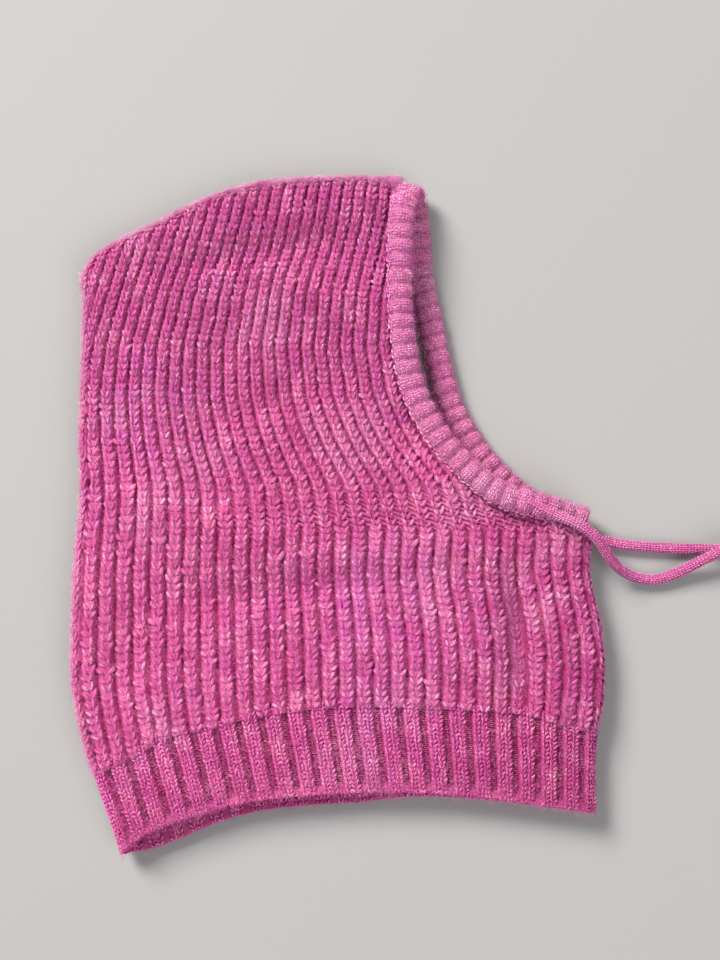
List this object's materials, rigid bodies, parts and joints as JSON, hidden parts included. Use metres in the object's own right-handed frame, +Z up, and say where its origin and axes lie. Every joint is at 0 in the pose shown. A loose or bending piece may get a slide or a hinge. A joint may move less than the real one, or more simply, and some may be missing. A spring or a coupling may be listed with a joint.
{
  "type": "balaclava",
  "caption": "Knitted balaclava laid flat: ribbed hood with a curved face opening, a corded casing round it, a ribbed neck band and a knitted drawcord",
  "frame": {"origin": "on the table, under the middle of the hood's bounding box", "axes": "+Z up off the table the hood lies on, +X towards the face opening, +Y towards the crown"},
  "size_m": [0.4315, 0.361, 0.0256],
  "materials": {
    "hood": "brushed wool, half-cardigan rib",
    "neck_band": "brushed wool, two-by-two rib",
    "casing": "brushed wool, folded rib band",
    "drawcord": "brushed wool, knitted round cord"
  },
  "bodies": {
    "hood": {"hood_right_side": "hood", "hood_left_side": "hood", "hood_back_fold": "hood", "hood_front_fold": "hood", "crown_seam": "hood", "neck_band_right": "neck_band", "neck_band_left": "neck_band", "neck_band_back_fold": "neck_band", "neck_band_front_fold": "neck_band", "casing_right": "casing", "casing_left": "casing", "casing_crown_turn": "casing", "casing_seam_right": "casing", "casing_seam_left": "casing", "drawcord_in_casing": "drawcord"},
    "drawcord": {"drawcord_tail_right": "drawcord", "drawcord_tail_left": "drawcord", "drawcord_coil": "drawcord", "knot_right": "drawcord", "knot_left": "drawcord"}
  },
  "joints": [
    {"name": "drawcord_pull", "type": "slide", "parent": "hood", "child": "drawcord", "axis": [0.8829, -0.4695, 0], "range_m": [0, 0.018]}
  ]
}
